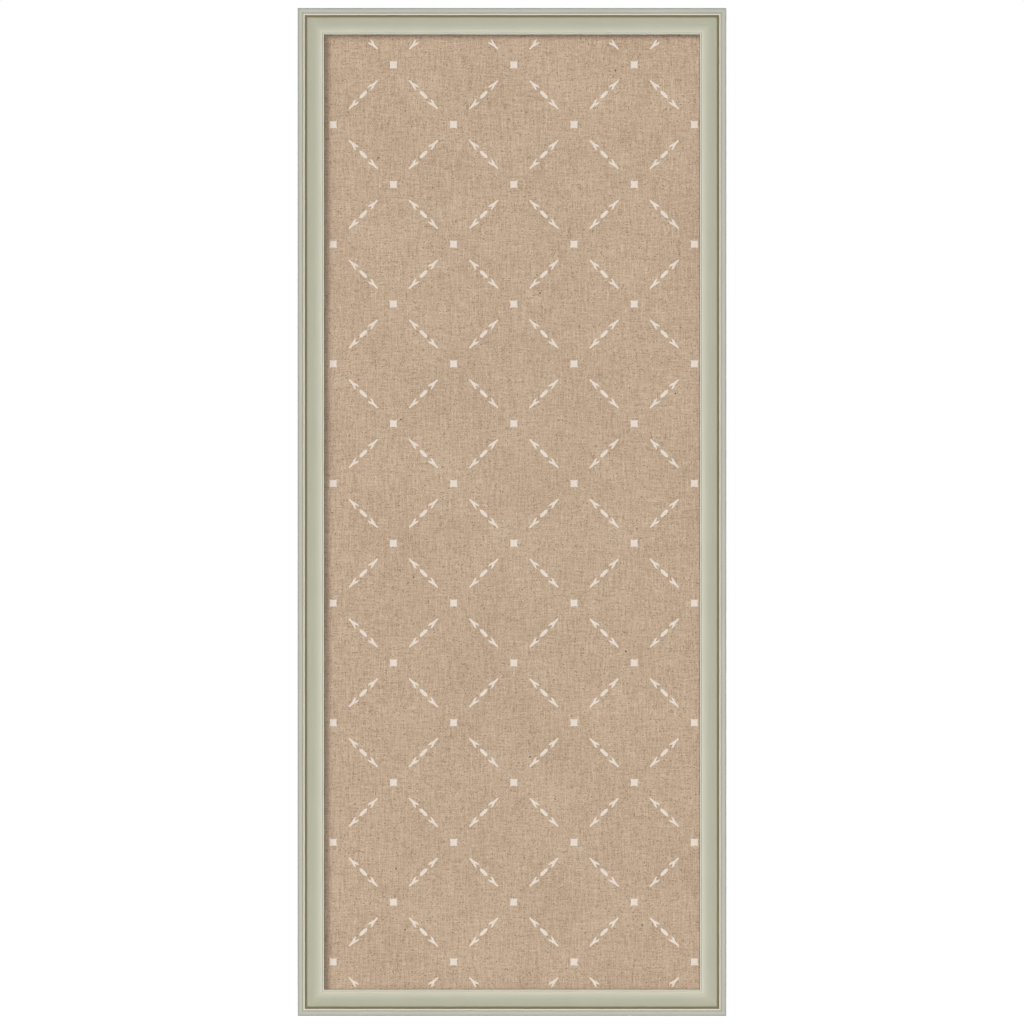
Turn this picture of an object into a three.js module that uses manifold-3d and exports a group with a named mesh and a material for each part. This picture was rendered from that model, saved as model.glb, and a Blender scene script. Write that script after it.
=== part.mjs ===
// A tall linen-covered pin board in a painted, mitred picture moulding. It hangs on a wall by
// two D-rings and stands off it on two bumpers.
// Lengths are millimetres. In the finished part +X is right, +Z is up and the pinning face
// looks along -Y. The origin is on the wall, behind the board's middle.

import * as THREE from 'three';
import { mergeVertices, toCreasedNormals } from 'three/addons/utils/BufferGeometryUtils.js';
import Module from 'manifold-3d';

const wasm = await Module();
wasm.setup();

// Clearances
const seat_gap = 0.3; // between a piece and the moulding that it sits on or in
const layer_gap = 0.1; // between the flat layers of the panel
const slot_gap = 0.2; // round a nail, point or screw in the wood
const mitre_gap = 0.2; // across a mitre, square to it
const overrun = 1; // how far a cutting shape passes the face that it cuts

// Pinning panel: linen stretched over cork, with a hardboard back
const panel_width = 406.4;
const panel_height = 1016;
const panel_corner = 1.2;
const linen_thickness = 0.7;
const linen_hem = 25;
const lip_press = 0.3; // how deep the lip of the moulding presses into the linen
const cork_thickness = 6;
const hardboard_thickness = 3;
const hardboard_inset = 1; // from the panel's edge to the hardboard's
const hardboard_corner = 2;

// Moulding: its overall section and its members from the outer edge inwards
const moulding_width = 27.8;
const moulding_depth = 25;
const lip_cover = 5.4; // how far the lip laps over the panel
const panel_gap = 1.6; // between the panel's edge and the wall of the rebate
const rebate_spare = 1.6; // from the framer's points to the back of the moulding
const edge_round = 1.2;
const band_width = 5;
const band_rise = 0.8;
const band_drop = 0.8; // from the crown of the bead down to the band
const scribe_width = 0.5;
const scribe_depth = 0.35;
const bead_width = 2.2;
const groove_width = 2.2;
const arris_drop = 1.5; // from the crown of the bead down to the arris inside the groove
const small_bead_width = 1.5;
const small_bead_rise = 0.45;
const quirk_width = 0.4;
const quirk_depth = 0.35;
const lip_flat = 1.4;
const lip_thickness = 5.2;
const nose_round = 0.5;

// V-nails pressed into the back of each mitre
const nail_leg = 5;
const nail_height = 10;
const nail_thickness = 0.5;
const nail_sink = 0.3;
const nail_spread_deg = 52; // from the mitre to each leg
const nail_place_shares = [0.22, 0.58]; // of the way across the back of the moulding
const nail_place_names = ['outer', 'inner'];

// Framer's points that hold the panel in the rebate
const point_width = 6;
const point_thickness = 0.6;
const point_bite = 6.5; // in the wood
const point_tongue = 9; // over the hardboard
const point_tip = 4; // tapering end of the bite
const points_per_side = 6;
const points_per_end = 2;

// D-ring hangers screwed to the backs of the side rails
const hanger_drop = 200; // from the top of the frame to the bar of the ring
const strap_width = 10;
const strap_thickness = 0.7;
const strap_slit = 0.15; // between the two folded leaves
const strap_bend = 1.2; // middle radius of the bend where the upper leaf comes down
const wire_diameter = 2.2;
const bar_clearance = 0.25; // round the bar in the folded loop
const ring_width = 16; // to the middle of the wire
const ring_height = 11;
const ring_corner = 2.2;
const ring_joint = 0.4; // between the two ends of the wire, inside the loop
const screw_clear = 2.2; // from the ring, turned down over the strap, to the upper screw's head
const screw_pitch = 12;
const strap_end = 6.5; // from the lower screw to the end of the strap
const screw_names = ['upper', 'lower'];
const screw_diameter = 3;
const screw_length = 13;
const screw_tip = 3.5;
const screw_head_diameter = 6.4;
const screw_head_height = 1.8;
const screw_head_rim = 0.6;
const screw_head_flat = 2.4; // diameter of the flat crown
const recess_reach = 3.4;
const recess_width = 0.7;
const recess_depth = 1.1;

// Bumpers at the bottom corners
const bumper_diameter = 12.6;
const bumper_height = 4.5;
const bumper_rim = 1.4;
const bumper_flat = 7; // diameter of the face that meets the wall
const bumper_inset = 24; // from the side of the frame

// Faceting
const edge_segments = 4;
const bead_segments = 6;
const groove_segments = 6;
const scoop_segments = 10;
const small_bead_segments = 4;
const loop_segments = 14;
const bend_segments = 5;
const wire_sides = 10;
const ring_steps = 56;
const screw_sides = 16;
const dome_segments = 4;
const bumper_sides = 24;
const corner_segments = 3;
const crease_deg = 28;

// Sizes that follow
const opening_width = panel_width - 2 * lip_cover;
const opening_height = panel_height - 2 * lip_cover;
const outer_width = opening_width + 2 * moulding_width;
const outer_height = opening_height + 2 * moulding_width;
const back_width = moulding_width - lip_cover - panel_gap;
const wall_gap = bumper_height + seat_gap;

// The layers of the panel, as heights above the back of the moulding
const point_back = rebate_spare;
const point_front = point_back + point_thickness;
const hardboard_back = point_front + layer_gap;
const hardboard_front = hardboard_back + hardboard_thickness;
const hem_back = hardboard_front + layer_gap;
const hem_front = hem_back + linen_thickness;
const cork_back = hem_front + layer_gap;
const cork_front = cork_back + cork_thickness;
const linen_inside = cork_front + layer_gap;
const linen_face = linen_inside + linen_thickness;
const linen_under_lip = linen_face - lip_press;
const rebate_depth = linen_under_lip + seat_gap;

// The hanger, as heights out of the back of the moulding
const wire_radius = wire_diameter / 2;
const loop_bore = wire_radius + bar_clearance;
const bar_height = seat_gap + strap_thickness + loop_bore;
const strap_top = seat_gap + 2 * strap_thickness + strap_slit;
const screw_seat = strap_top + layer_gap;
const ring_lean = Math.asin((bar_height - seat_gap - wire_radius) / ring_height);
const upper_drop = ring_height + wire_radius + screw_clear + screw_head_diameter / 2;
const screw_drops = [upper_drop, upper_drop + screw_pitch]; // from the bar
const strap_length = upper_drop + screw_pitch + strap_end; // below the bar

const quarter_turn = Math.PI / 2;

// Points along an arc, from one angle to another, both ends included
function arc_points(centre_x, centre_y, radius, from_angle, to_angle, segments) {
  const points = [];
  for (let step = 0; step <= segments; step += 1) {
    const angle = from_angle + ((to_angle - from_angle) * step) / segments;
    points.push(new THREE.Vector2(
      centre_x + radius * Math.cos(angle),
      centre_y + radius * Math.sin(angle),
    ));
  }
  return points;
}

// A closed geometry as a solid that can be cut and joined
function solid_of(geometry) {
  const bare = geometry.clone();
  bare.deleteAttribute('normal');
  bare.deleteAttribute('uv');
  const merged = mergeVertices(bare);
  const corners = merged.index.array;
  const triangles = [];
  for (let at = 0; at < corners.length; at += 3) {
    const [a, b, c] = corners.slice(at, at + 3);
    if (a !== b && b !== c && c !== a) triangles.push(a, b, c);
  }
  return new wasm.Manifold(new wasm.Mesh({
    numProp: 3,
    vertProperties: new Float32Array(merged.attributes.position.array),
    triVerts: new Uint32Array(triangles),
  }));
}

function geometry_of(solid) {
  const mesh = solid.getMesh();
  const geometry = new THREE.BufferGeometry();
  geometry.setAttribute('position', new THREE.BufferAttribute(mesh.vertProperties, 3));
  geometry.setIndex(new THREE.BufferAttribute(mesh.triVerts, 1));
  return toCreasedNormals(geometry, THREE.MathUtils.degToRad(crease_deg));
}

function extrude(outline, depth) {
  return new THREE.ExtrudeGeometry(new THREE.Shape(outline), { depth, bevelEnabled: false });
}

// A flat plate with rounded corners, centred, from the height floor up to the height top
function plate(width, height, corner, floor, top) {
  const x = width / 2 - corner;
  const y = height / 2 - corner;
  const outline = [
    ...arc_points(x, y, corner, 0, quarter_turn, corner_segments),
    ...arc_points(-x, y, corner, quarter_turn, 2 * quarter_turn, corner_segments),
    ...arc_points(-x, -y, corner, 2 * quarter_turn, 3 * quarter_turn, corner_segments),
    ...arc_points(x, -y, corner, 3 * quarter_turn, 4 * quarter_turn, corner_segments),
  ];
  return extrude(outline, top - floor).translate(0, 0, floor);
}

// A shape turned about its own axis, which then points out of the back of the board
function turned(profile, sides) {
  return new THREE.LatheGeometry(profile, sides).rotateX(-quarter_turn);
}

function material(name, color, roughness, metalness) {
  return new THREE.MeshStandardMaterial({ name, color, roughness, metalness });
}

const painted_wood = () => material('painted_wood', 0xbebda9, 0.55, 0);
const linen = () => material('linen', 0xbfa78f, 0.95, 0);
const cork = () => material('cork', 0xb08455, 0.9, 0);
const hardboard = () => material('hardboard', 0x7a5738, 0.75, 0);
const nail_steel = () => material('nail_steel', 0x8d8f90, 0.4, 1);
const zinc_plate = () => material('zinc_plate', 0xc6c8c6, 0.3, 1);
const bumper_rubber = () => material('bumper_rubber', 0x4a4744, 0.8, 0);

function piece(name, geometry, finish) {
  const mesh = new THREE.Mesh(geometry, finish);
  mesh.name = name;
  return mesh;
}

// Section of the moulding: x is the height above its back, y the distance in from its outer edge
function moulding_section() {
  const band_top = moulding_depth - band_drop;
  const band_edge = band_top - band_rise;
  const scribe_start = band_width;
  const bead_start = scribe_start + scribe_width;
  const groove_start = bead_start + bead_width;
  const scoop_start = groove_start + groove_width;
  const lip_start = moulding_width - lip_flat;
  const quirk_start = lip_start - quirk_width;
  const scoop_end = quirk_start - small_bead_width;
  const arris = moulding_depth - arris_drop;
  const lip_top = rebate_depth + lip_thickness;

  const bead_radius = crown_radius(bead_width, band_drop);
  const bead_half_angle = Math.asin(bead_width / 2 / bead_radius);
  const groove_radius = groove_width / 2;
  const scoop_width = scoop_end - scoop_start;
  const scoop_drop = arris - lip_top;
  const scoop_radius = (scoop_width ** 2 + scoop_drop ** 2) / (2 * scoop_drop);
  const scoop_angle = Math.asin(scoop_width / scoop_radius);
  const small_bead_radius = crown_radius(small_bead_width, small_bead_rise);
  const small_bead_half_angle = Math.asin(small_bead_width / 2 / small_bead_radius);

  return [
    new THREE.Vector2(0, 0),
    ...arc_points(band_edge - edge_round, edge_round, edge_round, -quarter_turn, 0, edge_segments),
    new THREE.Vector2(band_top, scribe_start),
    new THREE.Vector2(band_top - scribe_depth, scribe_start + scribe_width / 2),
    ...arc_points(moulding_depth - bead_radius, bead_start + bead_width / 2, bead_radius,
      -bead_half_angle, bead_half_angle, bead_segments),
    ...arc_points(arris, groove_start + groove_radius, groove_radius,
      3 * quarter_turn, quarter_turn, groove_segments),
    ...arc_points(lip_top + scoop_radius, scoop_end, scoop_radius,
      2 * quarter_turn + scoop_angle, 2 * quarter_turn, scoop_segments).slice(1, -1),
    ...arc_points(lip_top + small_bead_rise - small_bead_radius, scoop_end + small_bead_width / 2,
      small_bead_radius, -small_bead_half_angle, small_bead_half_angle, small_bead_segments),
    new THREE.Vector2(lip_top - quirk_depth, quirk_start + quirk_width / 2),
    new THREE.Vector2(lip_top, lip_start),
    ...arc_points(lip_top - nose_round, moulding_width - nose_round, nose_round,
      0, quarter_turn, edge_segments),
    new THREE.Vector2(rebate_depth, moulding_width),
    new THREE.Vector2(rebate_depth, back_width),
    new THREE.Vector2(0, back_width),
  ];
}

// Radius of the arc that spans a chord and rises over it
function crown_radius(chord, rise) {
  return (rise ** 2 + (chord / 2) ** 2) / (2 * rise);
}

// A length of moulding with both ends cut to 45 degrees. Its outer edge lies along the local
// x axis and its section runs inwards, towards -y, and forwards, towards +z.
function mitred_moulding(length) {
  const geometry = extrude(moulding_section(), length);
  const place = geometry.attributes.position;
  for (let at = 0; at < place.count; at += 1) {
    const height = place.getX(at);
    const inwards = place.getY(at);
    const end = place.getZ(at) > 0 ? 1 : -1;
    const half_length = length / 2 - inwards - mitre_gap / Math.SQRT2;
    place.setXYZ(at, end * half_length, -inwards, height);
  }
  return geometry;
}

// One rail in its place in the frame, less what is driven, screwed or pressed into it
function rail(name, length, x, y, turn, cutters) {
  const into_rail = new THREE.Matrix4().makeRotationZ(turn).setPosition(x, y, 0).invert();
  let wood = solid_of(mitred_moulding(length));
  for (const cutter of cutters) {
    wood = wood.subtract(solid_of(cutter.clone().applyMatrix4(into_rail)));
  }
  const mesh = piece(name, geometry_of(wood), painted_wood());
  mesh.position.set(x, y, 0);
  mesh.rotation.z = turn;
  return mesh;
}

// A V-nail seen from its end: x runs along the mitre, away from the corner of the frame
function nail_outline(grow) {
  const spread = THREE.MathUtils.degToRad(nail_spread_deg);
  const point = -grow / Math.sin(spread);
  const leg = nail_leg + grow + grow / Math.tan(spread);
  const thickness = nail_thickness + 2 * grow;
  const leg_end = new THREE.Vector2(point + leg * Math.cos(spread), leg * Math.sin(spread));
  const inner_end = new THREE.Vector2(
    leg_end.x + thickness * Math.sin(spread),
    leg_end.y - thickness * Math.cos(spread),
  );
  return [
    new THREE.Vector2(point, 0),
    new THREE.Vector2(leg_end.x, -leg_end.y),
    new THREE.Vector2(inner_end.x, -inner_end.y),
    new THREE.Vector2(point + thickness / Math.sin(spread), 0),
    inner_end,
    leg_end,
  ];
}

// The nails of one corner, and the slots that they leave in the two rails
function corner_nails(corner_name, side_x, side_y) {
  const turn = Math.atan2(-side_y, -side_x);
  const nails = [];
  const slots = [];
  nail_place_shares.forEach((share, at) => {
    const inwards = share * back_width;
    const x = side_x * (outer_width / 2 - inwards);
    const y = side_y * (outer_height / 2 - inwards);
    const nail = piece(
      `v_nail_${corner_name}_${nail_place_names[at]}`,
      extrude(nail_outline(0), nail_height),
      nail_steel(),
    );
    nail.position.set(x, y, nail_sink);
    nail.rotation.z = turn;
    nails.push(nail);
    const slot = extrude(nail_outline(slot_gap), overrun + nail_sink + nail_height + slot_gap);
    slots.push(slot.rotateZ(turn).translate(x, y, -overrun));
  });
  return { nails, slots };
}

// A framer's point lying flat: x runs into the wood from the wall of the rebate
function point_outline(grow) {
  const half = point_width / 2 + grow;
  const bite = point_bite + grow;
  const tongue_end = half - point_tongue;
  return [
    new THREE.Vector2(bite, 0),
    new THREE.Vector2(bite - point_tip, half),
    ...arc_points(tongue_end, 0, half, quarter_turn, 3 * quarter_turn, corner_segments + 1),
    new THREE.Vector2(bite - point_tip, -half),
  ];
}

// A row of points along one rail, and their slots. The rail lies in the direction outwards.
function point_row(side_name, count, row_length, wall_distance, outwards) {
  const points = [];
  const slots = [];
  for (let at = 0; at < count; at += 1) {
    const along = row_length * ((at + 0.5) / count - 0.5);
    const x = wall_distance * Math.cos(outwards) - along * Math.sin(outwards);
    const y = wall_distance * Math.sin(outwards) + along * Math.cos(outwards);
    const point = piece(
      `framers_point_${side_name}_${at + 1}`,
      extrude(point_outline(0), point_thickness),
      zinc_plate(),
    );
    point.position.set(x, y, point_back);
    point.rotation.z = outwards;
    points.push(point);
    const slot = extrude(point_outline(slot_gap), point_thickness + 2 * slot_gap);
    slots.push(slot.rotateZ(outwards).translate(x, y, point_back - slot_gap));
  }
  return { points, slots };
}

// Linen drawn over the front and the edges of the cork and turned in behind it
function linen_cover() {
  const wrap = solid_of(plate(panel_width, panel_height, panel_corner, hem_back, linen_under_lip));
  const face = solid_of(plate(
    opening_width - 2 * seat_gap,
    opening_height - 2 * seat_gap,
    panel_corner,
    linen_inside + layer_gap,
    linen_face,
  ));
  const pocket = solid_of(plate(
    panel_width - 2 * linen_thickness,
    panel_height - 2 * linen_thickness,
    panel_corner,
    hem_front,
    linen_inside,
  ));
  const window_in_hem = solid_of(plate(
    panel_width - 2 * linen_hem,
    panel_height - 2 * linen_hem,
    panel_corner,
    hem_back - overrun,
    hem_front + overrun,
  ));
  return geometry_of(wrap.add(face).subtract(pocket).subtract(window_in_hem));
}

function cork_core() {
  const edge = linen_thickness + layer_gap;
  return plate(panel_width - 2 * edge, panel_height - 2 * edge, panel_corner,
    cork_back, cork_front);
}

function hardboard_backing() {
  return plate(panel_width - 2 * hardboard_inset, panel_height - 2 * hardboard_inset,
    hardboard_corner, hardboard_back, hardboard_front);
}

// Side view of the folded strap: x is the height out of the rail, y is up, the bar is at y = 0
function strap_outline() {
  const inner_leaf = seat_gap + strap_thickness;
  const outer_leaf = inner_leaf + strap_slit;
  const leaf_middle = outer_leaf + strap_thickness / 2;
  const loop_middle = loop_bore + strap_thickness / 2;
  const bend_x = leaf_middle + strap_bend;
  const bend_drop = Math.sqrt((loop_middle + strap_bend) ** 2 - (bend_x - bar_height) ** 2);
  const loop_end = Math.atan2(-bend_drop, bend_x - bar_height);
  const bend_start = loop_end + 2 * quarter_turn;
  const loop = (radius) => arc_points(bar_height, 0, radius, 2 * quarter_turn, loop_end,
    loop_segments);
  const bend = (radius) => arc_points(bend_x, -bend_drop, radius, bend_start, 2 * quarter_turn,
    bend_segments).slice(1);
  return [
    new THREE.Vector2(seat_gap, -strap_length),
    ...loop(loop_bore + strap_thickness),
    ...bend(strap_bend - strap_thickness / 2),
    new THREE.Vector2(strap_top, -strap_length),
    new THREE.Vector2(outer_leaf, -strap_length),
    ...bend(strap_bend + strap_thickness / 2).reverse(),
    ...loop(loop_bore).reverse(),
    new THREE.Vector2(inner_leaf, -strap_length),
  ];
}

// The strap with its round end and its two screw holes
function hanger_strap() {
  const half = strap_width / 2;
  const ribbon = extrude(strap_outline(), strap_width).rotateY(quarter_turn).translate(-half, 0, 0);
  const round_end = [
    ...arc_points(0, half - strap_length, half, 2 * quarter_turn, 4 * quarter_turn,
      loop_segments),
    new THREE.Vector2(half, strap_length),
    new THREE.Vector2(-half, strap_length),
  ];
  const blank = extrude(round_end, wall_gap + 2 * overrun).translate(0, 0, -wall_gap - overrun);
  let strap = solid_of(ribbon).intersect(solid_of(blank));
  const hole_radius = screw_diameter / 2 + seat_gap;
  const hole_depth = strap_top + 2 * overrun;
  for (const drop of screw_drops) {
    const hole = new THREE.CylinderGeometry(hole_radius, hole_radius, hole_depth, screw_sides);
    strap = strap.subtract(solid_of(hole.rotateX(quarter_turn).translate(0, -drop, -strap_top / 2)));
  }
  return geometry_of(strap);
}

// The bent wire of a D-ring, from one end inside the loop round to the other
function ring_wire_path() {
  const half = ring_width / 2;
  const crown = ring_height - half;
  const path = new THREE.Path();
  path.moveTo(ring_joint / 2, 0);
  path.lineTo(half - ring_corner, 0);
  path.absarc(half - ring_corner, ring_corner, ring_corner, -quarter_turn, 0, false);
  path.lineTo(half, Math.max(crown, ring_corner));
  path.absarc(0, Math.max(crown, ring_corner), half, 0, 2 * quarter_turn, false);
  path.lineTo(-half, ring_corner);
  path.absarc(ring_corner - half, ring_corner, ring_corner, 2 * quarter_turn, 3 * quarter_turn,
    false);
  path.lineTo(-ring_joint / 2, 0);
  return path;
}

// A flat path as a curve in space
class Space_path extends THREE.Curve {
  constructor(path) {
    super();
    this.path = path;
  }

  getPoint(share, target = new THREE.Vector3()) {
    const point = this.path.getPoint(share);
    return target.set(point.x, point.y, 0);
  }
}

function hanger_ring() {
  const section = arc_points(0, 0, wire_radius, 0, 4 * quarter_turn, wire_sides).slice(1);
  return new THREE.ExtrudeGeometry(new THREE.Shape(section), {
    steps: ring_steps,
    bevelEnabled: false,
    extrudePath: new Space_path(ring_wire_path()),
  });
}

// A pan-head screw with a cross recess. Its seat is at z = 0 and its head points to -z.
function hanger_screw() {
  const shank = screw_diameter / 2;
  const head = screw_head_diameter / 2;
  const flat = screw_head_flat / 2;
  const dome = arc_points(0, 0, 1, 0, quarter_turn, dome_segments).map((unit) => new THREE.Vector2(
    flat + (head - flat) * unit.x,
    screw_head_rim + (screw_head_height - screw_head_rim) * unit.y,
  ));
  const body = turned([
    new THREE.Vector2(0, -screw_length),
    new THREE.Vector2(shank, screw_tip - screw_length),
    new THREE.Vector2(shank, 0),
    new THREE.Vector2(head, 0),
    ...dome,
    new THREE.Vector2(0, screw_head_height),
  ], screw_sides);
  const reach = recess_reach / 2;
  const arm = recess_width / 2;
  const cross = [];
  for (let quarter = 0; quarter < 4; quarter += 1) {
    const turn = quarter * quarter_turn;
    for (const [x, y] of [[arm, arm], [arm, reach], [-arm, reach]]) {
      cross.push(new THREE.Vector2(x, y).rotateAround(new THREE.Vector2(0, 0), turn));
    }
  }
  const recess = extrude(cross, recess_depth + overrun)
    .translate(0, 0, -screw_head_height - overrun);
  return geometry_of(solid_of(body).subtract(solid_of(recess)));
}

// A domed bumper, with its flat base at z = 0 and its wall face at -z
function wall_bumper() {
  const radius = bumper_diameter / 2;
  const flat = bumper_flat / 2;
  const dome = arc_points(0, 0, 1, 0, quarter_turn, dome_segments).map((unit) => new THREE.Vector2(
    flat + (radius - flat) * unit.x,
    bumper_rim + (bumper_height - bumper_rim) * unit.y,
  ));
  const profile = [
    new THREE.Vector2(0, 0),
    new THREE.Vector2(radius, 0),
    ...dome,
    new THREE.Vector2(0, bumper_height),
  ];
  return turned(profile, bumper_sides);
}

// One hanger: its strap, ring and screws, and the pilot holes in the rail
function hanger(side_name, side_x) {
  const x = side_x * (outer_width - back_width) / 2;
  const y = outer_height / 2 - hanger_drop;
  const strap = piece(`hanger_strap_${side_name}`, hanger_strap(), zinc_plate());
  strap.position.set(x, y, 0);
  const ring = piece(`hanger_ring_${side_name}`, hanger_ring(), zinc_plate());
  ring.position.set(x, y, -bar_height);
  ring.rotation.x = ring_lean;
  const screws = [];
  const pilot_holes = [];
  const hole_radius = screw_diameter / 2 + slot_gap;
  const hole_depth = screw_length - screw_seat + slot_gap;
  screw_drops.forEach((drop, at) => {
    const screw = piece(`hanger_screw_${side_name}_${screw_names[at]}`, hanger_screw(), zinc_plate());
    screw.position.set(x, y - drop, -screw_seat);
    screws.push(screw);
    const hole = new THREE.CylinderGeometry(hole_radius, hole_radius, hole_depth + overrun,
      screw_sides);
    hole.rotateX(quarter_turn).translate(x, y - drop, (hole_depth - overrun) / 2);
    pilot_holes.push(hole);
  });
  return { pieces: [strap, ring, ...screws], pilot_holes };
}

// The board seen face-on: x right, y up, z forwards from the back of the moulding
function pin_board() {
  const board = new THREE.Group();
  board.name = 'pin_board';
  board.rotation.x = quarter_turn;
  board.position.y = -wall_gap;

  const nails = {
    top_left: corner_nails('top_left', -1, 1),
    top_right: corner_nails('top_right', 1, 1),
    bottom_right: corner_nails('bottom_right', 1, -1),
    bottom_left: corner_nails('bottom_left', -1, -1),
  };
  const wall_x = outer_width / 2 - back_width;
  const wall_y = outer_height / 2 - back_width;
  const points = {
    top: point_row('top', points_per_end, opening_width, wall_y, quarter_turn),
    right: point_row('right', points_per_side, opening_height, wall_x, 0),
    bottom: point_row('bottom', points_per_end, opening_width, wall_y, -quarter_turn),
    left: point_row('left', points_per_side, opening_height, wall_x, 2 * quarter_turn),
  };
  const hangers = { left: hanger('left', -1), right: hanger('right', 1) };

  board.add(
    rail('top_rail', outer_width, 0, outer_height / 2, 0,
      [...nails.top_left.slots, ...nails.top_right.slots, ...points.top.slots]),
    rail('right_rail', outer_height, outer_width / 2, 0, -quarter_turn,
      [...nails.top_right.slots, ...nails.bottom_right.slots, ...points.right.slots,
        ...hangers.right.pilot_holes]),
    rail('bottom_rail', outer_width, 0, -outer_height / 2, 2 * quarter_turn,
      [...nails.bottom_left.slots, ...nails.bottom_right.slots, ...points.bottom.slots]),
    rail('left_rail', outer_height, -outer_width / 2, 0, quarter_turn,
      [...nails.top_left.slots, ...nails.bottom_left.slots, ...points.left.slots,
        ...hangers.left.pilot_holes]),
  );
  for (const corner of Object.values(nails)) board.add(...corner.nails);
  for (const row of Object.values(points)) board.add(...row.points);
  board.add(
    piece('linen_cover', linen_cover(), linen()),
    piece('cork_core', cork_core(), cork()),
    piece('hardboard_back', hardboard_backing(), hardboard()),
  );
  board.add(...hangers.left.pieces, ...hangers.right.pieces);
  for (const [side_name, side_x] of [['left', -1], ['right', 1]]) {
    const bumper = piece(`wall_bumper_${side_name}`, wall_bumper(), bumper_rubber());
    bumper.position.set(
      side_x * (outer_width / 2 - bumper_inset),
      (back_width - outer_height) / 2,
      -seat_gap,
    );
    board.add(bumper);
  }

  const part = new THREE.Group();
  part.add(board);
  return part;
}

export default pin_board();
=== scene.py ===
"""The looks of a tall linen-covered pin board in a painted, mitred picture moulding.

Lengths are in metres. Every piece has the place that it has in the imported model: +X is right,
+Z is up, the pinning face looks along -Y, and the origin is on the wall behind the middle of
the board.
"""

import math
import random

import bmesh
import bpy
from mathutils import Matrix, Vector

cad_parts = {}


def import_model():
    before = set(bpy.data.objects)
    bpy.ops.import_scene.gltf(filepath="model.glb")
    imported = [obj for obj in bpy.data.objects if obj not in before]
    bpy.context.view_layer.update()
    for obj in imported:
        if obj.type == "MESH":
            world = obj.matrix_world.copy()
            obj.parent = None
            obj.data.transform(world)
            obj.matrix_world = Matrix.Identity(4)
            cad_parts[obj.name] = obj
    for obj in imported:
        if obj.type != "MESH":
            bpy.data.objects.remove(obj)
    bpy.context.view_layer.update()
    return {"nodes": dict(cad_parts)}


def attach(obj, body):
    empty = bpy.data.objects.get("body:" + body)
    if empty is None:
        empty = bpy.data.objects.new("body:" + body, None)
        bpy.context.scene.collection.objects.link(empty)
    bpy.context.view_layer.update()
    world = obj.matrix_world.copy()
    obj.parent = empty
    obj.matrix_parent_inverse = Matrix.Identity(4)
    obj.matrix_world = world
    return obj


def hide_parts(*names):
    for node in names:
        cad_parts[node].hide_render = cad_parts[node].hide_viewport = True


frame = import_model()

# Pinning panel
PANEL_WIDTH = 0.4064
PANEL_HEIGHT = 1.016
PANEL_CORNER = 0.0012
LINEN_THICKNESS = 0.0007
LINEN_HEM = 0.025
LINEN_BACK = 0.0054  # the hem's back, above the back of the moulding
LINEN_FACE = 0.013  # the pinning face, above the back of the moulding
LIP_PRESS = 0.0003  # how deep the lip presses into the linen
LIP_PRESS_REACH = 0.0006  # how far in from the lip the linen is drawn down
LIP_PRESS_STEPS = 6
FOLD_RADIUS = 0.0013  # where the linen turns over the edges of the panel
FOLD_STEPS = 5
SMALLEST_CORNER = 0.0002

# Moulding: its overall section and its members from the outer edge inwards
MOULDING_WIDTH = 0.0278
MOULDING_DEPTH = 0.025
LIP_COVER = 0.0054
PANEL_GAP = 0.0016
REBATE_DEPTH = 0.013
EDGE_ROUND = 0.0012
BAND_WIDTH = 0.005
BAND_RISE = 0.0008
BAND_DROP = 0.0008
SCRIBE_WIDTH = 0.0005
SCRIBE_DEPTH = 0.00035
BEAD_WIDTH = 0.0022
GROOVE_WIDTH = 0.0022
ARRIS_DROP = 0.0015
SMALL_BEAD_WIDTH = 0.0015
SMALL_BEAD_RISE = 0.00045
QUIRK_WIDTH = 0.0004
QUIRK_DEPTH = 0.00035
LIP_FLAT = 0.0014
LIP_THICKNESS = 0.0052
NOSE_ROUND = 0.0005
MITRE_LINE = 0.00004  # the hairline left between two rails
CUT_EASE = 0.00005  # room round a nail, point or screw in the wood
OVERRUN = 0.001  # how far a cut passes the face of the wood
WELD_DISTANCE = 0.000001  # corners nearer than this are one

# Printed trellis on the linen
ROW_PITCH = 0.062985
COLUMN_PITCH = 0.06341
PRINT_ROWS = 16
OUTER_COLUMN = 3
PRINT_SHIFT_RIGHT = 0.0019
PRINT_SHIFT_DOWN = 0.00142
INK_FILM = 0.00004
INK_SOAK = 0.0002
INK_STEP = 0.0005  # between the corners of an outline
INK_RAGGEDNESS = 0.00009
INK_SEED = 11
SQUARE_HALF = 0.00448  # out to its corners
LOZENGE_HALF = 0.00555
LOZENGE_HALF_WIDTH = 0.00178
DART_START = 0.00915  # from the middle of a link to the ends of the fins
DART_LENGTH = 0.0122
DART_HALF_WIDTH = 0.00258
# Outlines as shares of the length and of the half width, on one side of the mark's own line
LOZENGE_SHARES = [(-1, 0.1), (-0.88, 0.44), (-0.59, 0.98), (0, 1), (0.59, 0.98),
                  (0.88, 0.44), (1, 0.1)]
DART_SHARES = [(0.265, 0), (0.1, 0.42), (-0.04, 0.73), (-0.055, 0.84), (0.06, 0.97),
               (0.18, 1), (0.29, 0.9), (0.37, 0.755), (0.46, 0.61), (0.63, 0.44), (0.8, 0.37),
               (0.96, 0.3), (1, 0.15)]
# One side of a square: the place along it and its height, as shares of half the square
SQUARE_SHARES = [(1, 1), (0.85, 0.89), (0.6, 0.815), (0, 0.775), (-0.6, 0.815), (-0.85, 0.89)]

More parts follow.
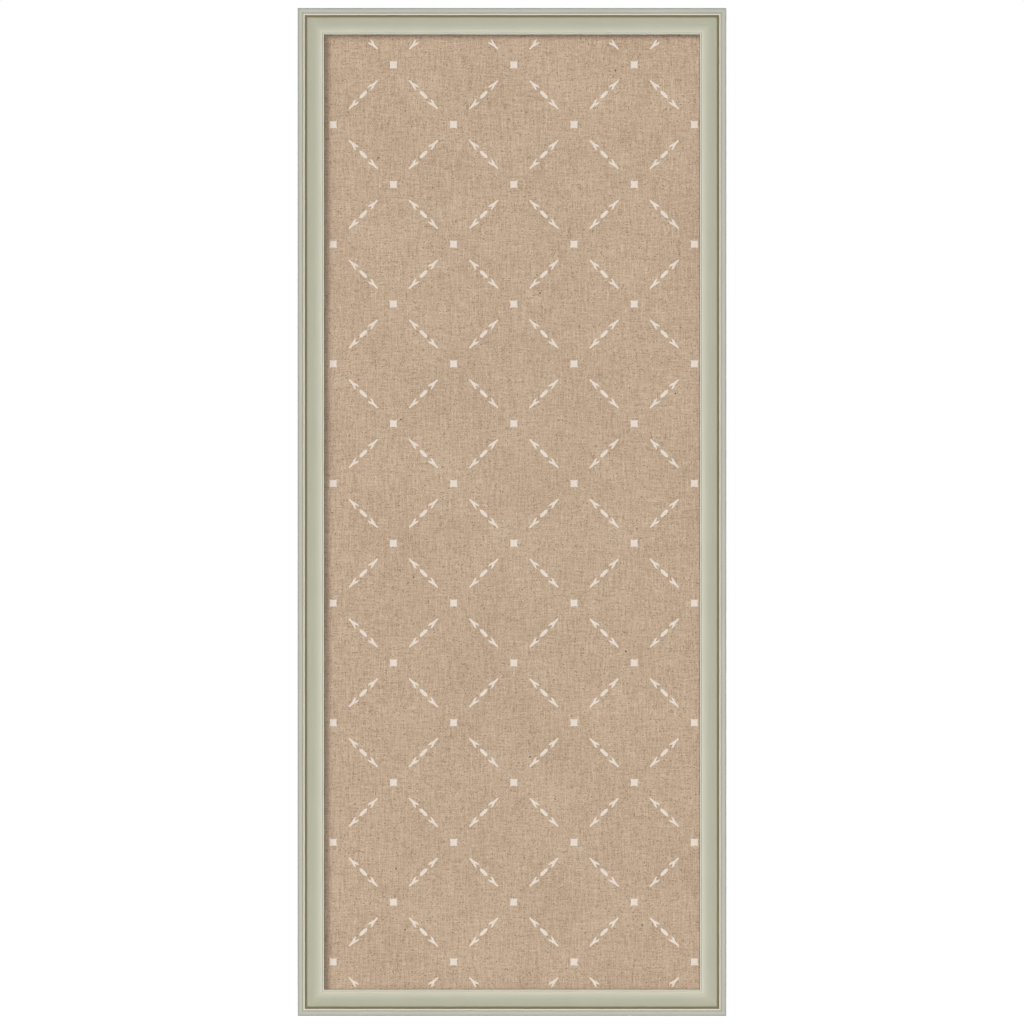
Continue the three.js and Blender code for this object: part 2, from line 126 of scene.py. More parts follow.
# Hangers
HANGER_DROP = 0.2
STRAP_WIDTH = 0.01
STRAP_THICKNESS = 0.0007
STRAP_SLIT = 0.00015
STRAP_BEND = 0.0012
STRAP_END = 0.0065
STRAP_EDGE = 0.00012
SEAT_GAP = 0.0003
LAYER_GAP = 0.0001
BAR_CLEARANCE = 0.00025
WIRE_DIAMETER = 0.0022
RING_WIDTH = 0.016
RING_HEIGHT = 0.011
RING_CORNER = 0.0022
RING_JOINT = 0.0004
SCREW_CLEAR = 0.0022
SCREW_PITCH = 0.012
SCREW_DIAMETER = 0.003
SCREW_LENGTH = 0.013
SCREW_TIP = 0.0035
HEAD_DIAMETER = 0.0064
HEAD_HEIGHT = 0.0018
HEAD_RIM = 0.0006
HEAD_FLAT = 0.0024
HEAD_EDGE = 0.00012
RECESS_REACH = 0.0034
RECESS_WIDTH = 0.0007
RECESS_DEPTH = 0.0011
RECESS_FOOT_SHARE = 0.55  # of the reach of its arms
RECESS_MOUTH_SHARE = 1.35

# Bumpers
BUMPER_DIAMETER = 0.0126
BUMPER_HEIGHT = 0.0045
BUMPER_RIM = 0.0014
BUMPER_FLAT = 0.007
BUMPER_EDGE = 0.0003
BUMPER_INSET = 0.024

# Eased edges, and how finely a curve is cut into flats
PLATE_EDGE = 0.00008  # of nails and points
BOARD_EDGE = 0.0004  # of the hardboard and the cork
FACET_TOLERANCE = 0.000008  # from the middle of a flat to its curve
SHARP_ANGLE_DEG = 30  # the least angle that is left sharp
EASE_ANGLE_DEG = 35  # the least angle that is eased
EASE_STEPS = 2

# Weave of the linen
WARP_PITCH = 0.00074
WEFT_PITCH = 0.00081
THREAD_WANDER = 0.0005
THREAD_WANDER_LENGTH = 0.009
WARP_SLUB_LENGTH = 0.022
WEFT_SLUB_LENGTH = 0.016
CLOUD_SIZE = 0.08
STRAW_LENGTH = 0.0034
STRAW_SHARE = 0.095  # of the places for a sliver
STRAW_EDGE_SHARES = (0.45, 0.85)  # of a thread's height, where a sliver begins and is full
KNOT_SPACING = 0.2
KNOT_RADIUS = 0.0011
WEAVE_HEIGHT = 0.00016
INK_HEIGHT_SHARE = 0.7  # of the weave's height, where it is inked
THREADS_APART = 3.7  # not whole, so that the tones of neighbouring threads have nothing in common

# Tone of the linen, which is 0 at its darkest and 1 at its palest: its start, and what each
# cause adds to it at most
TONE_START = -0.496
WARP_TONE = 0.76
WEFT_TONE = 0.63
CROSSING_TONE = 0.34
CLOUD_TONE = 0.25
# Paler on the crowns of the threads and darker in the gaps between them: painted shade
GAP_SHADE_TONE = 0.2
INK_CROSSING_TONE = 0.35

# Brush marks and glaze of the paint, and grain of the bare wood
BRUSH_MARK = 0.0012
BRUSH_SHORTENING = 0.02  # share of the way along the rail that the brush marks follow
BRUSH_DEPTH = 0.00003
BRUSH_TONES = (0.965, 1.035)  # of the paint, in the darkest and in the palest brush marks
# How far the tone edges across the moulding wobble, the painted shade and highlights with them
TONE_EDGE_WOBBLE = 0.0001
WOBBLE_LENGTH = 0.02
MOTTLE_SIZE = 0.03
MOTTLE_TONES = (0.985, 1.015)
PAINT_ROUGHNESS = (0.42, 0.54)
RING_SPACING = 0.0022
PORE_SPACING = 0.0007
PORE_DEPTH = 0.00008
GRAIN_SHORTENING = 0.04
PAINT_CREEP = (0.0004, 0.0015)  # round the outer edge on to the back
CREEP_LENGTH = 0.009

# Grain of the other materials
NOISE_RANGE = (0.3, 0.7)  # where most values of a noise lie
FIBRE_SIZE = 0.0016
FLECK_SIZE = 0.0007
PATCH_SIZE = 0.06
FIBRE_DEPTH = 0.00004
GRANULE_SIZE = 0.0025
GRANULE_GAP_SHARE = 0.12
GRANULE_DEPTH = 0.0003
ZINC_GRAIN = 0.0008
STEEL_GRAIN = 0.0005
ROLLING_SHORTENING = 0.15  # share of the way up that the rolling marks follow
ROLLING_DEPTH = 0.00002
RUBBER_GRAIN = 0.0006
RUBBER_DEPTH = 0.00003
DUST_SIZE = 0.004

# Camera: level, in front of the middle of the board
VIEW_WIDTH = 1.07735  # across the picture, at the front of the moulding
CAMERA_DISTANCE = 12.0  # from the front of the moulding

# Floor
FLOOR_DROP = 0.6  # under the middle of the board
FLOOR_WIDTH = 6.0
FLOOR_FRONT = 4.0
FLOOR_BACK = 2.4
FLOOR_CLOUD_SIZE = 0.4

# Light: each level is the brightness that it gives a white wall behind or in front of it
AMBIENT = 0.2
KEY_LEVEL = 0.46
LINEN_FRONT_LEVEL = 0.32
FRAME_FRONT_LEVEL = 0.67
REAR_LEVEL = 0.33
KEY_SLOPES = (-1.16, 0.74)  # to the side and up, for each unit forwards
FRONT_UP_SLOPE = 0.03
REAR_SIDE_SLOPE = 1.7
REAR_UP_SLOPE = 0.85
KEY_SOFTNESS_DEG = 30
FRONT_SOFTNESS_DEG = 6
REAR_SOFTNESS_DEG = 30
FLOOR_GLOW = 0.56  # of the floor as it is seen, over what the lamps give it

# Sizes that follow
OPENING_WIDTH = PANEL_WIDTH - 2 * LIP_COVER
OPENING_HEIGHT = PANEL_HEIGHT - 2 * LIP_COVER
OUTER_WIDTH = OPENING_WIDTH + 2 * MOULDING_WIDTH
OUTER_HEIGHT = OPENING_HEIGHT + 2 * MOULDING_WIDTH
BACK_WIDTH = MOULDING_WIDTH - LIP_COVER - PANEL_GAP
WALL_GAP = BUMPER_HEIGHT + SEAT_GAP
BACK_Y = -WALL_GAP
LINEN_Y = BACK_Y - LINEN_FACE
FRONT_Y = BACK_Y - MOULDING_DEPTH
WIRE_RADIUS = WIRE_DIAMETER / 2
LOOP_BORE = WIRE_RADIUS + BAR_CLEARANCE
BAR_OUT = SEAT_GAP + STRAP_THICKNESS + LOOP_BORE
STRAP_TOP = SEAT_GAP + 2 * STRAP_THICKNESS + STRAP_SLIT
SCREW_SEAT = STRAP_TOP + LAYER_GAP
RING_LEAN = math.asin((BAR_OUT - SEAT_GAP - WIRE_RADIUS) / RING_HEIGHT)
UPPER_DROP = RING_HEIGHT + WIRE_RADIUS + SCREW_CLEAR + HEAD_DIAMETER / 2
SCREW_DROPS = {"upper": UPPER_DROP, "lower": UPPER_DROP + SCREW_PITCH}
STRAP_LENGTH = UPPER_DROP + SCREW_PITCH + STRAP_END
HANGER_X = (OUTER_WIDTH - BACK_WIDTH) / 2
HANGER_Z = OUTER_HEIGHT / 2 - HANGER_DROP
QUARTER = math.pi / 2

# Where each member of the moulding starts, from the outer edge
SCRIBE_START = BAND_WIDTH
BEAD_START = SCRIBE_START + SCRIBE_WIDTH
GROOVE_START = BEAD_START + BEAD_WIDTH
SCOOP_START = GROOVE_START + GROOVE_WIDTH
LIP_START = MOULDING_WIDTH - LIP_FLAT
SMALL_BEAD_START = LIP_START - QUIRK_WIDTH - SMALL_BEAD_WIDTH


def steps_round(radius, turn=QUARTER):
    """How many flats a curve of this radius needs to turn through an angle"""
    return math.ceil(abs(turn) / (2 * math.acos(1 - FACET_TOLERANCE / radius)))


def arc(centre_x, centre_y, radius, start, end, steps=None):
    """Points along an arc from one angle to another, both ends included"""
    steps = steps or steps_round(radius, end - start)
    angles = [start + (end - start) * step / steps for step in range(steps + 1)]
    return [(centre_x + radius * math.cos(a), centre_y + radius * math.sin(a)) for a in angles]


def new_object(name, data):
    piece = bpy.data.objects.new(name, data)
    bpy.context.scene.collection.objects.link(piece)
    return piece


def skin(shape, rows):
    """Faces between each row of corners and the next, where every row closes on itself"""
    faces = []
    for row, next_row in zip(rows, rows[1:]):
        for at in range(len(row)):
            after = (at + 1) % len(row)
            corners = (row[at], row[after], next_row[after], next_row[at])
            faces.append(shape.faces.new(corners))
    return faces


def object_of(name, shape, *finishes):
    """A piece from a finished bmesh, smooth but for its sharp edges, with its materials"""
    bmesh.ops.recalc_face_normals(shape, faces=shape.faces[:])
    mesh = bpy.data.meshes.new(name)
    shape.to_mesh(mesh)
    shape.free()
    mesh.shade_smooth()
    mesh.set_sharp_from_angle(angle=math.radians(SHARP_ANGLE_DEG))
    for finish in finishes:
        mesh.materials.append(finish)
    return new_object(name, mesh)


def keep_modifiers(piece):
    """Writes the result of a piece's modifiers into its mesh"""
    graph = bpy.context.evaluated_depsgraph_get()
    graph.update()
    mesh = bpy.data.meshes.new_from_object(
        piece.evaluated_get(graph), preserve_all_data_layers=True, depsgraph=graph)
    piece.modifiers.clear()
    piece.data = mesh
    mesh.name = piece.name


def cut(piece, cutter):
    """Takes the cutter's shape out of the piece"""
    modifier = piece.modifiers.new("cut", "BOOLEAN")
    modifier.operation = "DIFFERENCE"
    modifier.solver = "MANIFOLD"
    modifier.object = cutter
    keep_modifiers(piece)
    bpy.data.objects.remove(cutter)
    piece.data.set_sharp_from_angle(angle=math.radians(SHARP_ANGLE_DEG))


def ease(piece, width):
    """Rounds the sharp edges of a piece by a modifier, which leaves its mesh as it is"""
    modifier = piece.modifiers.new("ease", "BEVEL")
    modifier.width = width
    modifier.segments = EASE_STEPS
    modifier.limit_method = "ANGLE"
    modifier.angle_limit = math.radians(EASE_ANGLE_DEG)


def settle(piece, body, slot, *nodes):
    """Gives a new piece its body and hides the nodes that it stands for. The slot is not used."""
    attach(piece, body)
    if nodes:
        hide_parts(*nodes)
    return piece


def linear(code):
    """A written colour, such as c8c6b0, as the shader takes it"""
    levels = [int(code[at:at + 2], 16) / 255 for at in (0, 2, 4)]
    values = [v / 12.92 if v <= 0.04045 else ((v + 0.055) / 1.055) ** 2.4 for v in levels]
    return (*values, 1.0)


class Finish:
    """One material. Each method but put adds a node and returns its output."""

    def __init__(self, name, roughness=0.5, metallic=0.0, specular=0.5):
        self.material = bpy.data.materials.new(name)
        self.material.use_nodes = True
        self.tree = self.material.node_tree
        self.shader = self.tree.nodes["Principled BSDF"]
        self.put("Roughness", roughness)
        self.put("Metallic", metallic)
        self.put("Specular IOR Level", specular)

    def put(self, socket, value, node=None):
        target = (node or self.shader).inputs[socket]
        if isinstance(value, bpy.types.NodeSocket):
            self.tree.links.new(value, target)
        else:
            target.default_value = value

    def add(self, kind, inputs, output=0, **settings):
        node = self.tree.nodes.new(kind)
        for setting, value in settings.items():
            setattr(node, setting, value)
        for socket, value in inputs.items():
            self.put(socket, value, node)
        return node.outputs[output]

    def place(self):
        return self.add("ShaderNodeTexCoord", {}, "Object")

    def cloth_place(self):
        return self.add("ShaderNodeUVMap", {}, uv_map="cloth")

    def attribute(self, name):
        return self.add("ShaderNodeAttribute", {}, "Fac", attribute_name=name)

    def math(self, operation, a, b=0.0, c=0.0):
        return self.add("ShaderNodeMath", {0: a, 1: b, 2: c}, operation=operation)

    def wave(self, value):
        """Up over each even whole number and down over each odd one"""
        return self.math("SINE", self.math("MULTIPLY", value, math.pi))

    def hump(self, value):
        return self.math("ABSOLUTE", self.wave(value))

    def part_of(self, vector, axis):
        return self.add("ShaderNodeSeparateXYZ", {0: vector}, axis)

    def vector(self, x=0.0, y=0.0, z=0.0):
        return self.add("ShaderNodeCombineXYZ", {0: x, 1: y, 2: z})

    def stretch(self, vector, x, y, z):
        return self.add("ShaderNodeVectorMath", {0: vector, 1: (x, y, z)}, operation="MULTIPLY")

    def noise(self, vector, size, detail=2.0, roughness=0.5, distortion=0.0):
        return self.add("ShaderNodeTexNoise", {
            "Vector": vector, "Scale": 1 / size, "Detail": detail, "Roughness": roughness,
            "Distortion": distortion})

    def speckle(self, vector):
        return self.add("ShaderNodeTexWhiteNoise", {"Vector": vector}, "Value")

    def cells(self, vector, size, output="Distance", **settings):
        return self.add("ShaderNodeTexVoronoi", {"Vector": vector, "Scale": 1 / size}, output,
                        **settings)

    def spread(self, value, low, high, to_low=0.0, to_high=1.0):
        return self.add("ShaderNodeMapRange", {
            "Value": value, "From Min": low, "From Max": high, "To Min": to_low,
            "To Max": to_high})

    def blend(self, share, a, b):
        return self.add("ShaderNodeMix", {0: share, 6: a, 7: b}, 2, data_type="RGBA")

    def ramp(self, value, stops):
        output = self.add("ShaderNodeValToRGB", {0: value})
        bar = output.node.color_ramp
        while len(bar.elements) < len(stops):
            bar.elements.new(1.0)
        for element, (place, code) in zip(bar.elements, stops):
            element.position = place
            element.color = linear(code)
        return output

    def bump(self, height, distance):
        return self.add("ShaderNodeBump", {"Height": height, "Distance": distance})


def crown_radius(chord, rise):
    """Radius of the arc that spans a chord and rises over it"""
    return (rise ** 2 + (chord / 2) ** 2) / (2 * rise)


def moulding_section():
    """The section as (height, across) points: the painted run, and the bare run that closes it"""
    band_top = MOULDING_DEPTH - BAND_DROP
    band_edge = band_top - BAND_RISE
    arris = MOULDING_DEPTH - ARRIS_DROP
    lip_top = REBATE_DEPTH + LIP_THICKNESS
    bead = crown_radius(BEAD_WIDTH, BAND_DROP)
    bead_angle = math.asin(BEAD_WIDTH / 2 / bead)
    groove = GROOVE_WIDTH / 2
    scoop_width = SMALL_BEAD_START - SCOOP_START
    scoop_drop = arris - lip_top
    scoop = (scoop_width ** 2 + scoop_drop ** 2) / (2 * scoop_drop)
    scoop_angle = math.asin(scoop_width / scoop)
    small = crown_radius(SMALL_BEAD_WIDTH, SMALL_BEAD_RISE)
    small_angle = math.asin(SMALL_BEAD_WIDTH / 2 / small)
    scribe = (band_top - SCRIBE_DEPTH, SCRIBE_START + SCRIBE_WIDTH / 2)
    quirk = (lip_top - QUIRK_DEPTH, LIP_START - QUIRK_WIDTH / 2)
    painted = [(0, 0)]
    painted += arc(band_edge - EDGE_ROUND, EDGE_ROUND, EDGE_ROUND, -QUARTER, 0)
    painted += [(band_top, SCRIBE_START), scribe]
    painted += arc(MOULDING_DEPTH - bead, BEAD_START + BEAD_WIDTH / 2, bead,
                   -bead_angle, bead_angle)
    painted += arc(arris, GROOVE_START + groove, groove, 3 * QUARTER, QUARTER)
    painted += arc(lip_top + scoop, SMALL_BEAD_START, scoop,
                   math.pi + scoop_angle, math.pi)[1:-1]
    painted += arc(lip_top + SMALL_BEAD_RISE - small, SMALL_BEAD_START + SMALL_BEAD_WIDTH / 2,
                   small, -small_angle, small_angle)
    painted += [quirk, (lip_top, LIP_START)]
    painted += arc(lip_top - NOSE_ROUND, MOULDING_WIDTH - NOSE_ROUND, NOSE_ROUND, 0, QUARTER)
    painted += [(REBATE_DEPTH, MOULDING_WIDTH)]
    bare = [(REBATE_DEPTH, BACK_WIDTH), (0, BACK_WIDTH)]
    return painted, bare


def cutter_of(node, open_back):
    """A shape a little larger than a node, open through the back of the rail if asked"""
    shape = bmesh.new()
    shape.from_mesh(frame["nodes"][node].data)
    bmesh.ops.remove_doubles(shape, verts=shape.verts[:], dist=WELD_DISTANCE)
    bmesh.ops.recalc_face_normals(shape, faces=shape.faces[:])
    shape.normal_update()
    back = max(corner.co.y for corner in shape.verts)
    moves = [(corner, corner.normal * CUT_EASE) for corner in shape.verts]
    for corner, move in moves:
        at_back = corner.co.y > back - CUT_EASE
        corner.co += move
        if open_back and at_back:
            corner.co.y = BACK_Y + OVERRUN
    mesh = bpy.data.meshes.new("cutter")
    shape.to_mesh(mesh)
    shape.free()
    return mesh


def rail_cutter(side):
    """Everything that is driven or screwed into one rail"""
    joined = bmesh.new()
    for node in frame["nodes"]:
        nail = node.startswith("v_nail_") and side in node.split("_")
        if nail or node.startswith((f"framers_point_{side}_", f"hanger_screw_{side}_")):
            mesh = cutter_of(node, nail)
            joined.from_mesh(mesh)
            bpy.data.meshes.remove(mesh)
    for face in joined.faces:
        face.material_index = 1
    mesh = bpy.data.meshes.new("cutter")
    joined.to_mesh(mesh)
    joined.free()
    return new_object("cutter", mesh)


def rail(side, length, middle, along, inwards, finishes):
    """A mitred length of moulding, with the places across and along it kept for its finish"""
    painted, bare = moulding_section()
    section = painted + bare
    shape = bmesh.new()
    ends = []
    for end in (-1, 1):
        corners = []
        for height, across in section:
            reach = end * (length / 2 - across - MITRE_LINE / math.sqrt(2))
            place = middle + along * reach + inwards * across + Vector((0, BACK_Y - height, 0))
            corners.append(shape.verts.new(place))
        ends.append(corners)
    for at, face in enumerate(skin(shape, ends)):
        face.material_index = 0 if at < len(painted) - 1 else 1
    for corners in ends:
        shape.faces.new(corners).material_index = 1
    piece = object_of(f"{side}_moulding", shape, *finishes)
    cut(piece, rail_cutter(side))
    for name, direction in (("across", inwards), ("along", along)):
        places = [(corner.co - middle).dot(direction) for corner in piece.data.vertices]
        layer = piece.data.attributes.new(name, "FLOAT", "POINT")
        layer.data.foreach_set("value", places)
    return settle(piece, "board", "painted_wood", f"{side}_rail")


def rails(finishes):
    right, up = Vector((1, 0, 0)), Vector((0, 0, 1))
    to_side, to_top = right * OUTER_WIDTH / 2, up * OUTER_HEIGHT / 2
    return [
        rail("top", OUTER_WIDTH, to_top, right, -up, finishes),
        rail("right", OUTER_HEIGHT, to_side, -up, -right, finishes),
        rail("bottom", OUTER_WIDTH, -to_top, -right, up, finishes),
        rail("left", OUTER_HEIGHT, -to_side, up, right, finishes),
    ]


def panel_loop(inset):
    """The panel's outline with its corners rounded, drawn in by inset, with its outward normals"""
    radius = max(PANEL_CORNER - inset, SMALLEST_CORNER)
    x = PANEL_WIDTH / 2 - inset - radius
    z = PANEL_HEIGHT / 2 - inset - radius
    steps = steps_round(PANEL_CORNER)
    loop = []
    for quarter, (side_x, side_z) in enumerate([(1, 1), (-1, 1), (-1, -1), (1, -1)]):
        for step in range(steps + 1):
            angle = QUARTER * (quarter + step / steps)
            normal = (math.cos(angle), math.sin(angle))
            loop.append((side_x * x + radius * normal[0], side_z * z + radius * normal[1], normal))
    return loop


def linen_layers():
    """The sheet from the middle of its face to the end of its hem: the inset, the height above
    the back of the moulding, and the way along the cloth from the edge of the panel"""
    under_lip = LINEN_FACE - LIP_PRESS
    layers = []
    for step in range(LIP_PRESS_STEPS + 1):
        share = step / LIP_PRESS_STEPS
        reach = LIP_PRESS_REACH * (1 - share)
        layers.append((LIP_COVER + reach, LINEN_FACE - LIP_PRESS * share ** 2, 0))
    way = -FOLD_RADIUS
    for centre, start in [(under_lip - FOLD_RADIUS, 0), (LINEN_BACK + FOLD_RADIUS, QUARTER)]:
        fold = arc(centre, -FOLD_RADIUS, FOLD_RADIUS, start, start + QUARTER, FOLD_STEPS)
        for height, inset in fold:
            layers.append((-inset, height, way))
            way += FOLD_RADIUS * QUARTER / FOLD_STEPS
        if start == 0:
            way += under_lip - LINEN_BACK - 2 * FOLD_RADIUS
    layers.append((LINEN_HEM, LINEN_BACK, way + LINEN_HEM - FOLD_RADIUS))
    return layers


def linen_sheet(finish):
    """One sheet of linen over the face and the edges of the panel, turned in behind the cork"""
    shape = bmesh.new()
    cloth = shape.loops.layers.uv.new("cloth")
    outline = panel_loop(0)
    flat_places = {}
    rows = []
    for inset, height, way in linen_layers():
        row = []
        for (x, z, normal), (edge_x, edge_z, _) in zip(panel_loop(inset), outline):
            corner = shape.verts.new((x, BACK_Y - height, z))
            if way == 0:
                flat_places[corner] = (x, z)
            else:
                flat_places[corner] = (edge_x + normal[0] * way, edge_z + normal[1] * way)
            row.append(corner)
        rows.append(row)
    shape.faces.new(rows[0])
    skin(shape, rows)
    for face in shape.faces:
        for loop in face.loops:
            loop[cloth].uv = flat_places[loop.vert]
    piece = object_of("linen_sheet", shape, finish)
    thicken = piece.modifiers.new("thickness", "SOLIDIFY")
    thicken.thickness = LINEN_THICKNESS
    thicken.offset = -1
    keep_modifiers(piece)
    return settle(piece, "board", "linen", "linen_cover")


def square_outline():
    outline = []
    for quarter in range(4):
        turn = Matrix.Rotation(quarter * QUARTER, 2)
        outline += [tuple(turn @ Vector(place) * SQUARE_HALF) for place in SQUARE_SHARES]
    return outline


def mirrored(shares, start, length, half_width):
    """A closed outline from the shares of one side, which runs from end to end of the mark"""
    side = [(start + along * length, across * half_width) for along, across in shares]
    return side + [(along, -across) for along, across in reversed(side) if across]


def finely(outline):
    """The outline with corners at even steps along its sides"""
    fine = []
    for at, here in enumerate(outline):
        there = outline[(at + 1) % len(outline)]
        steps = max(1, round(math.dist(here, there) / INK_STEP))
        for step in range(steps):
            share = step / steps
            fine.append(tuple(a + (b - a) * share for a, b in zip(here, there)))
    return fine


def print_marks():
    """The place, direction and outline of each mark of the trellis"""
    middle = Vector((PRINT_SHIFT_RIGHT, -PRINT_SHIFT_DOWN))
    lozenge = mirrored(LOZENGE_SHARES, 0, LOZENGE_HALF, LOZENGE_HALF_WIDTH)
    dart = mirrored(DART_SHARES, DART_START, DART_LENGTH, DART_HALF_WIDTH)
    square = square_outline()

    def place(column, row):
        drop = row - (PRINT_ROWS - 1) / 2
        return middle + Vector((column * COLUMN_PITCH, -drop * ROW_PITCH))

    def columns(row):
        return range(-OUTER_COLUMN + (row + 1) % 2, OUTER_COLUMN + 1, 2)

    marks = []
    for row in range(-1, PRINT_ROWS):
        if row >= 0:
            marks += [(place(column, row), Vector((1, 0)), square) for column in columns(row)]
        for column in columns(row):
            for side in (-1, 1):
                if abs(column + side) > OUTER_COLUMN:
                    continue
                start, end = place(column, row), place(column + side, row + 1)
                link = (end - start).normalized()
                if row >= 0:
                    marks.append(((start + end) / 2, -link, dart))
                if row < PRINT_ROWS - 1:
                    marks.append(((start + end) / 2, link, dart))
                if 0 <= row < PRINT_ROWS - 1:
                    marks.append(((start + end) / 2, link, lozenge))
    return marks


def linen_print(finish):
    """The ink of the trellis: a film on the linen with edges that follow the rough weave"""
    chance = random.Random(INK_SEED)
    shape = bmesh.new()
    cloth = shape.loops.layers.uv.new("cloth")
    for middle, direction, outline in print_marks():
        aside = Vector((-direction.y, direction.x))
        top, foot = [], []
        for along, across in finely(outline):
            x, z = middle + direction * along + aside * across
            x += chance.uniform(-INK_RAGGEDNESS, INK_RAGGEDNESS)
            z += chance.uniform(-INK_RAGGEDNESS, INK_RAGGEDNESS)
            top.append(shape.verts.new((x, LINEN_Y - INK_FILM, z)))
            foot.append(shape.verts.new((x, LINEN_Y + INK_SOAK, z)))
        shape.faces.new(top)
        shape.faces.new(foot[::-1])
        skin(shape, [foot, top])
    for face in shape.faces:
        for loop in face.loops:
            loop[cloth].uv = (loop.vert.co.x, loop.vert.co.z)
    return settle(object_of("linen_print", shape, finish), "board", "linen")


def strap_line():
    """Stations along the middle of the folded strap: height out of the rail, height above the
    bar, the direction across the thickness, and half the width"""
    inner = SEAT_GAP + STRAP_THICKNESS / 2
    outer = STRAP_TOP - STRAP_THICKNESS / 2
    loop = LOOP_BORE + STRAP_THICKNESS / 2
    bend_x = outer + STRAP_BEND
    bend_drop = math.sqrt((loop + STRAP_BEND) ** 2 - (bend_x - BAR_OUT) ** 2)
    loop_end = math.atan2(-bend_drop, bend_x - BAR_OUT)
    half = STRAP_WIDTH / 2
    steps = steps_round(half)
    end_angles = [QUARTER * (1 - step / steps) for step in range(steps)]
    round_end = [(half - STRAP_LENGTH - half * math.sin(a), half * math.cos(a) + STRAP_EDGE)
                 for a in end_angles]
    line = [(inner, y, (-1, 0), width) for y, width in round_end]
    line += [(inner, half - STRAP_LENGTH, (-1, 0), half), (inner, -2 * loop, (-1, 0), half)]
    for x, y in arc(BAR_OUT, 0, loop, math.pi, loop_end):
        line.append((x, y, ((x - BAR_OUT) / loop, y / loop), half))
    for x, y in arc(bend_x, -bend_drop, STRAP_BEND, loop_end + math.pi, math.pi)[1:]:
        line.append((x, y, ((bend_x - x) / STRAP_BEND, (-bend_drop - y) / STRAP_BEND), half))
    line += [(outer, half - STRAP_LENGTH, (1, 0), half)]
    line += [(outer, y, (1, 0), width) for y, width in reversed(round_end)]
    return line


def strap(side, side_x, finish):
    """The folded strap: a ribbon with eased edges, less its two screw holes"""
    shape = bmesh.new()
    rows = []
    thick, edge = STRAP_THICKNESS / 2, STRAP_EDGE
    for out, up, (normal_out, normal_up), half in strap_line():
        row = []
        for across, lift in [(-half, edge - thick), (edge - half, -thick), (half - edge, -thick),
                             (half, edge - thick), (half, thick - edge), (half - edge, thick),
                             (edge - half, thick), (-half, thick - edge)]:
            row.append(shape.verts.new((
                side_x * HANGER_X + across,
                BACK_Y + out + normal_out * lift,
                HANGER_Z + up + normal_up * lift)))
        rows.append(row)
    skin(shape, rows)
    shape.faces.new(rows[0])
    shape.faces.new(rows[-1])
    piece = object_of(f"strap_{side}", shape, finish)
    hole = SCREW_DIAMETER / 2 + SEAT_GAP
    for drop in SCREW_DROPS.values():
        profile = [(0, -OVERRUN), (hole, -OVERRUN), (hole, STRAP_TOP + OVERRUN),
                   (0, STRAP_TOP + OVERRUN)]
        place = (side_x * HANGER_X, BACK_Y, HANGER_Z - drop)
        cut(piece, turned("cutter", profile, place))
    return settle(piece, "board", "zinc_plate", f"hanger_strap_{side}")


def ring_path():
    """The bent wire from one end in the loop round to the other: right of and above the bar"""
    half = RING_WIDTH / 2
    crown = RING_HEIGHT - half
    start = RING_JOINT / 2
    path = [(start, 0), (start + RING_JOINT, 0), (half / 2, 0)]
    path += arc(half - RING_CORNER, RING_CORNER, RING_CORNER, -QUARTER, 0)
    path += arc(0, crown, half, 0, math.pi)
    path += arc(RING_CORNER - half, RING_CORNER, RING_CORNER, math.pi, 3 * QUARTER)
    path += [(-half / 2, 0), (-start - RING_JOINT, 0), (-start, 0)]
    return path


def ring(side, side_x, finish):
    """The wire ring, leaning on the rail above its bar"""
    path = ring_path()
    shape = bmesh.new()
    rows = []
    for at, (x, up) in enumerate(path):
        before, after = path[max(at - 1, 0)], path[min(at + 1, len(path) - 1)]
        ahead = Vector((after[0] - before[0], after[1] - before[1])).normalized()
        outwards = Vector((ahead.y, -ahead.x))
        row = []
        for side_out, side_off in arc(0, 0, WIRE_RADIUS, 0, 4 * QUARTER)[:-1]:
            flat = Vector((x, up)) + outwards * side_out
            row.append(shape.verts.new((
                side_x * HANGER_X + flat.x,
                BACK_Y + BAR_OUT - flat.y * math.sin(RING_LEAN) + side_off * math.cos(RING_LEAN),
                HANGER_Z + flat.y * math.cos(RING_LEAN) + side_off * math.sin(RING_LEAN))))
        rows.append(row)
    skin(shape, rows)
    shape.faces.new(rows[0])
    shape.faces.new(rows[-1])
    piece = object_of(f"ring_{side}", shape, finish)
    return settle(piece, f"ring_{side}", "zinc_plate", f"hanger_ring_{side}")


def turned(name, profile, place, *finishes):
    """A profile of (radius, height out of the rail) turned about an axis square to the wall"""
    x, y, z = place
    steps = steps_round(max(radius for radius, _ in profile), 4 * QUARTER)
    shape = bmesh.new()
    rows = []
    for radius, out in profile:
        if radius == 0:
            rows.append([shape.verts.new((x, y + out, z))])
            continue
        circle = arc(x, z, radius, 0, 4 * QUARTER, steps)[:-1]
        rows.append([shape.verts.new((at_x, y + out, at_z)) for at_x, at_z in circle])
    for row, after_row in zip(rows, rows[1:]):
        for at in range(steps):
            after = (at + 1) % steps
            corners = [row[at % len(row)], row[after % len(row)],
                       after_row[after % len(after_row)], after_row[at % len(after_row)]]
            shape.faces.new(list(dict.fromkeys(corners)))
    return object_of(name, shape, *finishes)


def dome(radius, flat, foot, height):
    """The rounded shoulder of a screw head or bumper, from its rim up to its flat crown"""
    unit = arc(0, 0, 1, 0, QUARTER, steps_round(radius - flat))
    return [(flat + (radius - flat) * a, foot + (height - foot) * b) for a, b in unit]


